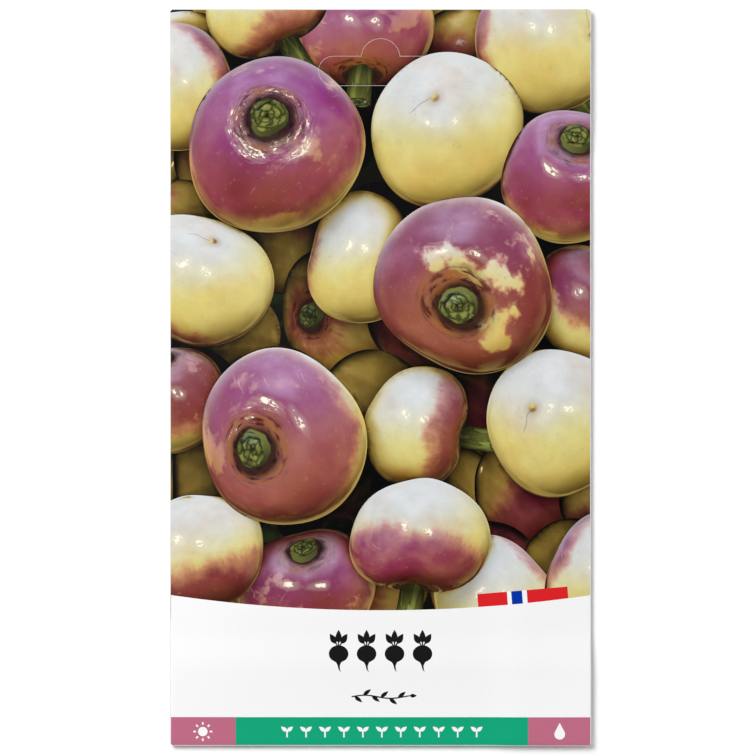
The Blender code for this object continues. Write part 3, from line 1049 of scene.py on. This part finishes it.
def front_print(proof, bodies):
    """Everything printed on the front, from the bottom of the stack up."""
    foot = -HALF_HEIGHT - CRACK
    reach = HALF_WIDTH + CRACK
    edge = [(x, label_edge(proof, x)) for x in evenly(reach, -reach, 40)]
    label = [(-reach, foot), (reach, foot), *edge]
    # Grey bands of painted shade along the left and top folds
    wide, tall = HALF_WIDTH - EDGE_SHADE_SHORT, HALF_HEIGHT - EDGE_SHADE_SHORT
    edge_shade_left = box(-HALF_WIDTH - EDGE_SHADE_END, -tall, -HALF_WIDTH - LEFT_CRACK, tall)
    edge_shade_top = box(-wide, HALF_HEIGHT + CRACK, wide, HALF_HEIGHT + EDGE_SHADE_END)
    return [
        *picture(bodies),
        *strip(proof),
        *inked([label], "white"),
        *band(proof, reach, foot, -HEIGHT / 2 + proof.band),
        *label_marks(proof),
        # The grey bands of painted shade along the left and top folds go on last
        *inked([edge_shade_left, edge_shade_top], "scuff"),
    ]


def back_print():
    """The back: white, with three ringed marks, a sowing guide and a calendar of twelve boxes."""
    shapes = []
    for month in range(12):
        x = (5.5 - month) * MONTH_STEP
        ink = "green" if month in SOWING else "rose" if month in HARVEST else "white"
        for inset, fill in ((0, "black"), (MONTH_LINE, ink)):
            half = MONTH_HALF - inset
            top = CALENDAR_LOW + (MONTH_TALL - inset)
            shapes += inked([box(x - half, CALENDAR_LOW + inset, x + half, top)], fill)
    for place, mark, size in ((-1, sun, 8.5), (0, drop, 8.5), (1, turnip_figure, 7.4)):
        x = place * RING_STEP
        shapes.append(Shape([disc(x, RING_HEIGHT, radius, 40) for radius in RINGS], "green"))
        shapes += inked(mark(x, RING_HEIGHT - 0.3, size), "black")
    shapes += inked(sowing_guide(GUIDE_HEIGHT, GUIDE_STEP), "black")
    return moved(shapes, on_back)


def flap_print(proof):
    """The band goes on round the bottom fold, onto the flap."""
    fold = -HALF_HEIGHT - END_FOLD
    return band(proof, WIDTH / 2, fold - FLAP_BAND, fold + END_FOLD / 2)


def slot_print():
    """The bare core along the hang slot and its slits, in all three layers."""
    ring = Shape([slot_outline(grow) for grow in (CORE / 2, -CORE / 2)], "core")
    front = [ring, *inked([ribbon(line, SLIT) for line in slits()], "cut")]
    return front + moved(front, on_back) + moved(front, on_top_flap)


# From the drawing to the folded sheet


def inside(loop, x, y):
    """Which points lie inside a closed outline."""
    loop = np.array(loop)
    found = np.zeros(len(x), bool)
    low, high = loop.min(0), loop.max(0)
    near = np.flatnonzero((x > low[0]) & (x < high[0]) & (y > low[1]) & (y < high[1]))
    if not len(near):
        return found
    px, py = x[near], y[near]
    odd = np.zeros(len(near), bool)
    for (ax, ay), (bx, by) in zip(loop, np.roll(loop, -1, 0)):
        if ay == by:
            continue
        spans = (ay > py) != (by > py)
        odd ^= spans & (px < (bx - ax) * (py - ay) / (by - ay) + ax)
    found[near] = odd
    return found


def clear_of(points, others, gap):
    """The points that lie further than the gap from all the others."""
    tree = kdtree.KDTree(len(others))
    for number, point in enumerate(others):
        tree.insert((*point, 0), number)
    tree.balance()
    return [point for point in points if tree.find((*point, 0))[2] > gap]


def halos(shapes):
    """Points just outside each turnip, where its shade on the others changes fast."""
    found = []
    for shape in shapes:
        if shape.ink[0] == "skin":
            body = shape.ink[1]
            for gap in HALO:
                found += clipped(body.outline(gap), -HALF_WIDTH, PICTURE_LOW, HALF_WIDTH, HALF_HEIGHT)
    return found


def grid_points():
    """Points all over the blank, closer on the front."""
    columns = evenly(BACK_LEFT, TAB_RIGHT, round((TAB_RIGHT - BACK_LEFT) / FRONT_PITCH))
    rows = evenly(FLAP_BOTTOM, FLAP_TOP, round(BLANK_SIDE / FRONT_PITCH))
    found = []
    for i, x in enumerate(columns):
        for j, y in enumerate(rows):
            front = abs(x) < HALF_WIDTH and abs(y) < HALF_HEIGHT
            if front or not (i % 2 or j % 2):
                found.append((x, y))
    return found


def planar_map(shapes):
    """(points, triangles) of the blank with every drawn line along triangles' sides."""
    outline = blank_outline()
    drawn = [outline] + [loop for shape in shapes for loop in shape.loops]
    lines = [(dense(loop), True) for loop in drawn] + [(crease, False) for crease in creases()]
    points, sides = [], []
    for line, closed in lines:
        start, count = len(points), len(line)
        points += line
        sides += [(start + i, start + (i + 1) % count) for i in range(count if closed else count - 1)]
    points += clear_of(halos(shapes), points, TOO_NEAR)
    points += clear_of(grid_points(), points, TOO_NEAR)
    places, _, triangles, *_ = delaunay_2d_cdt([Vector(p) for p in points], sides, [], 0, WELD)
    places = np.array([tuple(p) for p in places])
    triangles = np.array(triangles)
    middles = places[triangles].mean(1)
    kept = inside(outline, *middles.T)
    return places, triangles[kept], middles[kept]


def printed_sheet(shapes):
    """(points, triangles, the number of each one's topmost shape or -1), without what is cut out."""
    places, triangles, middles = planar_map(shapes)
    painted = np.full(len(triangles), -1)
    for number, shape in enumerate(shapes):
        covers = np.zeros(len(triangles), bool)
        for loop in shape.loops:
            covers ^= inside(loop, *middles.T)
        painted[covers] = number
    cut = np.array([shape.ink == "cut" for shape in shapes] + [False])
    kept = ~cut[painted]
    used, corners = np.unique(triangles[kept], return_inverse=True)
    return places[used], corners.reshape(-1, 3), painted[kept]


def dense(loop):
    """A closed outline with points close enough together to bend with the paper."""
    found = []
    for a, b in zip(loop, loop[1:] + loop[:1]):
        far = math.dist(a, b)
        count = max(1, round(far / (LINE_PITCH * 1.2)))
        found += [(a[0] + (b[0] - a[0]) * i / count, a[1] + (b[1] - a[1]) * i / count) for i in range(count)]
    return found


def back_height(y):
    """Middle of the back panel's paper: on the surface, and a layer up where an end flap lies under it."""
    top_edge = HEIGHT / 2 - TOP_FLAP - CLEAR
    bottom_edge = -HEIGHT / 2 + BOTTOM_FLAP + CLEAR
    over_top = ramp(y, top_edge - BACK_RISE, top_edge)
    over_bottom = 1 - ramp(y, bottom_edge, bottom_edge + BACK_RISE)
    return PAPER / 2 + LAYER * (over_top + over_bottom)


def swell(x, y):
    """How far the seeds lift the front panel."""
    across = 1 - np.minimum(1, np.abs(x) / HALF_WIDTH) ** SWELL_POWER
    low, high = SWELL_FULL
    return SWELL * across * ramp(y, -HALF_HEIGHT, low) * (1 - ramp(y, high, POCKET_TOP))


def buckles(x, y):
    """Shallow waves and seed marks where the paper stretches over the filling, all below the swell."""
    waves = 0.5 + 0.25 * np.sin(x * 0.33 + 1.3 * np.sin(y * 0.11)) + 0.25 * np.sin(y * 0.27 + x * 0.12)
    seeds = 0.5 + 0.5 * np.sin(x * 2.1 + np.sin(y * 1.3)) * np.sin(y * 1.9 + np.sin(x * 1.1))
    heap = np.exp(-((x / 14) ** 2) - ((y + 24) / 17) ** 2)
    return -swell(x, y) * (BUCKLE_DEPTH * waves + SEED_MARK_DEPTH * seeds * heap)


def front_height(x, y):
    """Middle of the front panel's paper: a layer over the back, two over the tab, and swollen."""
    over_tab = ramp(x, TAB_EDGE - FRONT_RISE, TAB_EDGE - CLEAR)
    return back_height(y) + LAYER * (1 + over_tab) + swell(x, y) + buckles(x, y)


def round_fold(share, high, low):
    """(how far out, height) of a point this share of the way round a fold from one level down to another."""
    straight = high - low - 2 * FOLD_RADIUS
    quarter = FOLD_RADIUS * math.pi / 2
    run = share * (2 * quarter + straight)
    first = run < quarter
    last = run >= quarter + straight
    turn = np.where(first, run / FOLD_RADIUS, (run - quarter - straight) / FOLD_RADIUS)
    out = np.where(first, np.sin(turn), np.where(last, np.cos(turn), 1)) * FOLD_RADIUS
    down = np.where(first, high - FOLD_RADIUS * (1 - np.cos(turn)), high - FOLD_RADIUS - (run - quarter))
    return out, np.where(last, low + FOLD_RADIUS * (1 - np.sin(turn)), down)


def past_fold(run, edge, fold, high, low):
    """(how far out, height) of a panel's points where it is folded at its edge and goes on under itself."""
    past = np.maximum(run - edge - fold, 0)
    out, height = round_fold(np.clip((run - edge) / fold, 0, 1), high, low)
    return edge + out - past, np.where(past > 0, low, height)


def folded(places):
    """Points of the flat blank, in millimetres, where they lie on the folded packet."""
    s, t = places.T
    x, y, z = s.copy(), t.copy(), front_height(s, t)
    for side, level in ((-1, back_height(t)), (1, back_height(t) + LAYER)):
        there = (side * s > HALF_WIDTH) & (np.abs(t) < HALF_HEIGHT)
        high = front_height(np.full_like(t, side * HALF_WIDTH), t)
        out, height = past_fold(side * s, HALF_WIDTH, SIDE_FOLD, high, level)
        x, z = np.where(there, side * out, x), np.where(there, height, z)
    for end in (-1, 1):
        there = end * t > HALF_HEIGHT
        high = front_height(s, np.full_like(t, end * HALF_HEIGHT))
        out, height = past_fold(end * t, HALF_HEIGHT, END_FOLD, high, PAPER / 2)
        y, z = np.where(there, end * out, y), np.where(there, height, z)
    return np.stack((x, y, z), 1)


def write(mesh, name, values, kind="FLOAT_VECTOR", key="vector"):
    """Gives each face's corners the values, as an attribute that the materials read."""
    attribute = mesh.attributes.new(name, kind, "CORNER")
    attribute.data.foreach_set(key, np.ascontiguousarray(values, np.float32).ravel())


def print_on(mesh, places, triangles, painted, shapes, proof):
    """Writes what the inks need on each corner: its place, its ink, and how its turnip is turned and lit."""
    corners = places[triangles].reshape(-1, 2)
    owner = np.repeat(painted, 3)
    inks = {name: tuple(getattr(proof, name)) for name in INKS}
    colour = np.ones((len(corners), 4))
    colour[:, :3] = inks["white"]
    told = {name: np.zeros((len(corners), 3)) for name in ("disk", "light", "crown", "side", "skin")}
    told["light"] += 1
    bodies = [shape.ink[1] for shape in shapes if shape.ink[0] == "skin"]
    bounds = (-HALF_WIDTH - HEAP_MARGIN, -HALF_HEIGHT, HALF_WIDTH + HEAP_MARGIN, HALF_HEIGHT + HEAP_MARGIN)
    field = height_map(bodies, bounds)
    for number, shape in enumerate(shapes):
        mine = np.flatnonzero(owner == number)
        if shape.ink in inks:
            colour[mine, :3] = inks[shape.ink]
        if shape.ink[0] not in ("skin", "stalk") or not len(mine):
            continue
        kind, body = shape.ink
        here = corners[mine]
        on_body = body.disk(here)
        heights = body.height(on_body)
        if kind == "stalk":
            _, base, length, wide = body.stalk()
            heights = heights + STALK_RISE
            off = here - base
            on_body = np.column_stack((off @ body.aside / wide, off @ body.along / length))
        told["disk"][mine, :2] = on_body
        told["light"][mine, :2] = np.column_stack(daylight(field, bounds, here, heights))
        told["crown"][mine], told["side"][mine] = body.crown, body.side
        told["skin"][mine] = (body.turnip.purple, body.turnip.patch, body.seed)
    write(mesh, "ink", colour, "FLOAT_COLOR", "color")
    write(mesh, "blank", np.column_stack((corners, np.zeros(len(corners)))))
    for name, values in told.items():
        write(mesh, name, values)


def read_all(items, key, kind=np.int32, each=1):
    """A value, or this many, of each of a mesh's items."""
    values = np.zeros(len(items) * each, kind)
    items.foreach_get(key, values)
    return values


def bake_map(mesh):
    """A UV map laid out as the flat blank, with the inside and the cut edges on small patches beside it."""
    blank = read_all(mesh.attributes["blank"].data, "vector", np.float32, 3).reshape(-1, 3)[:, :2]
    sizes = read_all(mesh.polygons, "loop_total")
    unprinted = read_all(mesh.polygons, "material_index") == len(mesh.materials) - 1
    bare = np.repeat(unprinted, sizes)
    cut = np.repeat(unprinted & (sizes == 4), sizes)
    uv = (blank - np.array((BACK_LEFT, FLAP_BOTTOM))) / (BLANK_SIDE * 1.01) + 0.004
    uv[bare] = (uv * INSIDE_SCALE + np.array(INSIDE_CORNER))[bare]
    quad = np.array(((0, 0), (1, 0), (1, 1), (0, 1))) * CUT_SCALE + CUT_CORNER
    uv[cut] = np.tile(quad, (cut.sum() // 4, 1))
    layer = mesh.uv_layers.new(name="OFBake")
    layer.data.foreach_set("uv", uv.astype(np.float32).ravel())


def linked(context, name, data):
    """A new object with this data, in the scene."""
    found = bpy.data.objects.new(name, data)
    context.collection.objects.link(found)
    return found


class PACKET_OT_fold_paper(Operator):
    """Draw the print on the flat blank, fold it and give the paper its thickness"""

    bl_idname = "packet.fold_paper"
    bl_label = "Print and fold the paper"

    def execute(self, context):
        proof = context.scene.packet_print
        colours = context.scene.packet_heap
        bodies = [Body(turnip, number) for number, turnip in enumerate(heap(random.Random(colours.draw)))]
        shapes = [*front_print(proof, bodies), *back_print(), *flap_print(proof), *slot_print()]
        places, triangles, painted = printed_sheet(shapes)
        mesh = bpy.data.meshes.new("printed_packet")
        mesh.from_pydata((folded(places) * MM).tolist(), [], triangles.tolist())
        for ink in (flat_ink(), dark_gap(), turnip_skin(colours), cut_stalk(colours), bare_paper(proof)):
            mesh.materials.append(ink)
        slots = {"gap": 1, "skin": 2, "stalk": 3, "core": 4}
        names = [shape.ink if isinstance(shape.ink, str) else shape.ink[0] for shape in shapes] + ["white"]
        mesh.polygons.foreach_set("material_index", [slots.get(names[number], 0) for number in painted])
        print_on(mesh, places, triangles, painted, shapes, proof)

        piece = linked(context, "printed_packet", mesh)
        bpy.ops.object.select_all(action="DESELECT")
        context.view_layer.objects.active = piece
        piece.select_set(True)
        paper = piece.modifiers.new("paper", "SOLIDIFY")
        paper.thickness = PAPER * MM
        paper.offset = 0
        paper.material_offset = paper.material_offset_rim = len(mesh.materials)
        bpy.ops.object.modifier_apply(modifier=paper.name)
        mesh = piece.data
        mesh.shade_smooth()
        mesh.set_sharp_from_angle(angle=math.radians(SHARP_ANGLE))
        bake_map(mesh)
        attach(piece, BODY)
        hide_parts("paper_packet")
        return {"FINISHED"}


class PACKET_OT_finish_filling(Operator):
    """Give the glue lines and the seeds their materials"""

    bl_idname = "packet.finish_filling"
    bl_label = "Finish the glue and the seeds"

    def execute(self, context):
        glue = dried_glue()
        coating = seed_coat()
        for name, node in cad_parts.items():
            if name != "paper_packet":
                node.data.materials.clear()
                node.data.materials.append(coating if name == "seeds" else glue)
        return {"FINISHED"}


class PACKET_OT_set_stage(Operator):
    """Add the floor, the soft lights and the camera over the packet"""

    bl_idname = "packet.set_stage"
    bl_label = "Set the stage"

    def execute(self, context):
        stage = context.scene.packet_stage
        pale_floor()
        lights(context, stage)
        camera(context, stage)
        context.scene.view_settings.view_transform = "Standard"
        return {"FINISHED"}


# Stage sizes in metres, and where the photograph has the packet, in its pixels
FLOOR = 6.0
FRAME_PIXELS = 756
PIXEL = 0.18975
PACKET_MIDDLE = (380.55, 377.4)
FLOOR_DROP = 0.0002
LIGHT_DISTANCE = 2.4
LIGHTS = (
    ("key", (-0.8, 0.8, 1.3), 1.4, 59.0),
    ("right fill", (1.0, 0.2, 0.45), 2.0, 14.0),
    ("low fill", (-0.2, -1.0, 0.45), 2.0, 14.0),
    ("high fill", (0.2, 1.0, 0.8), 2.0, 9.0),
)
WORLD_LIGHT = 0.15


def pale_floor():
    bpy.ops.mesh.primitive_plane_add(size=FLOOR, location=(0, 0, -FLOOR_DROP))
    floor = bpy.context.object
    floor.name = "floor"
    bpy.ops.object.transform_apply(location=True, rotation=False, scale=False)
    sheet = Sheet("pale floor")
    faint = sheet.noise(sheet.object_place(), 40.0, 2)
    sheet.set(Base_Color=sheet.mix(faint, (0.97, 0.97, 0.97), (1.0, 1.0, 1.0)), Roughness=0.8)
    sheet.set(Specular_IOR_Level=0.2)
    floor.data.materials.append(sheet.material)


def lights(context, stage):
    """Square soft lights that face the packet, and a little light from everywhere."""
    for name, way, size, power in LIGHTS:
        data = bpy.data.lights.new(name, "AREA")
        data.size = size
        data.energy = power * (stage.key if name == "key" else stage.fill)
        light = linked(context, name, data)
        light.location = Vector(way).normalized() * LIGHT_DISTANCE
        light.rotation_euler = Vector(way).to_track_quat("Z", "Y").to_euler()
    world = bpy.data.worlds.new("studio")
    world.use_nodes = True
    sky = world.node_tree.nodes["Background"].inputs
    sky["Color"].default_value = (1, 1, 1, 1)
    sky["Strength"].default_value = WORLD_LIGHT
    context.scene.world = world


def camera(context, stage):
    """Straight down on the packet, which stands in the frame where the photograph has it."""
    data = bpy.data.cameras.new("camera")
    data.lens = stage.lens
    scale = PIXEL * MM
    middle = FRAME_PIXELS / 2
    rise = PACKET_HIGH.z * MM / 2 + FRAME_PIXELS * scale * stage.lens / data.sensor_width
    eye = linked(context, "camera", data)
    eye.location = ((middle - PACKET_MIDDLE[0]) * scale, (PACKET_MIDDLE[1] - middle) * scale, rise)
    context.scene.camera = eye


class PACKET_PT_panel(Panel):
    """The packet's sizes, colours and steps"""

    bl_label = "Seed packet"
    bl_idname = "PACKET_PT_panel"
    bl_space_type = "VIEW_3D"
    bl_region_type = "UI"
    bl_category = "Seed packet"

    def draw(self, context):
        for group in (context.scene.packet_print, context.scene.packet_heap, context.scene.packet_stage):
            for name in group.__annotations__:
                self.layout.prop(group, name)
        for operator in OPERATORS:
            self.layout.operator(operator.bl_idname)


GROUPS = {"packet_print": PacketPrint, "packet_heap": PacketHeap, "packet_stage": PacketStage}
OPERATORS = (PACKET_OT_fold_paper, PACKET_OT_finish_filling, PACKET_OT_set_stage)


def register():
    for cls in (*GROUPS.values(), *OPERATORS, PACKET_PT_panel):
        bpy.utils.register_class(cls)
    for name, group in GROUPS.items():
        setattr(bpy.types.Scene, name, PointerProperty(type=group))


def unregister():
    for name in GROUPS:
        delattr(bpy.types.Scene, name)
    for cls in (PACKET_PT_panel, *reversed(OPERATORS), *GROUPS.values()):
        bpy.utils.unregister_class(cls)


def main():
    register()
    bpy.ops.packet.fold_paper()
    bpy.ops.packet.finish_filling()
    bpy.ops.packet.set_stage()


if __name__ == "__main__":
    main()
